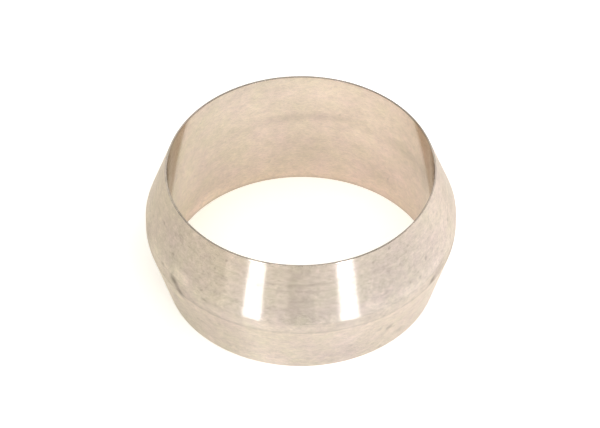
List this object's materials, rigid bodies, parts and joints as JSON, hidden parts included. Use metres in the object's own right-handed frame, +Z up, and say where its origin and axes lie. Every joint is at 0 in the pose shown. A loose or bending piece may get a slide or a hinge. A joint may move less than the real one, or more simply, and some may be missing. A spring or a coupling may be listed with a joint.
{
  "type": "compression ring",
  "caption": "Turned metal compression ring with a plain bore and a double cone, squeezed onto a pipe between a fitting's seat and its nut to seal the joint.",
  "frame": {"origin": "centre of the lower end face, where the ring stands", "axes": "+Z up along the bore; the ring is round, so X and Y are any two directions across it"},
  "size_m": [0.0176, 0.0176, 0.008],
  "materials": {
    "ring_metal": "fine-turned, satin, warm silver grey"
  },
  "bodies": {
    "root": {"compression_ring": "ring_metal"}
  },
  "joints": []
}
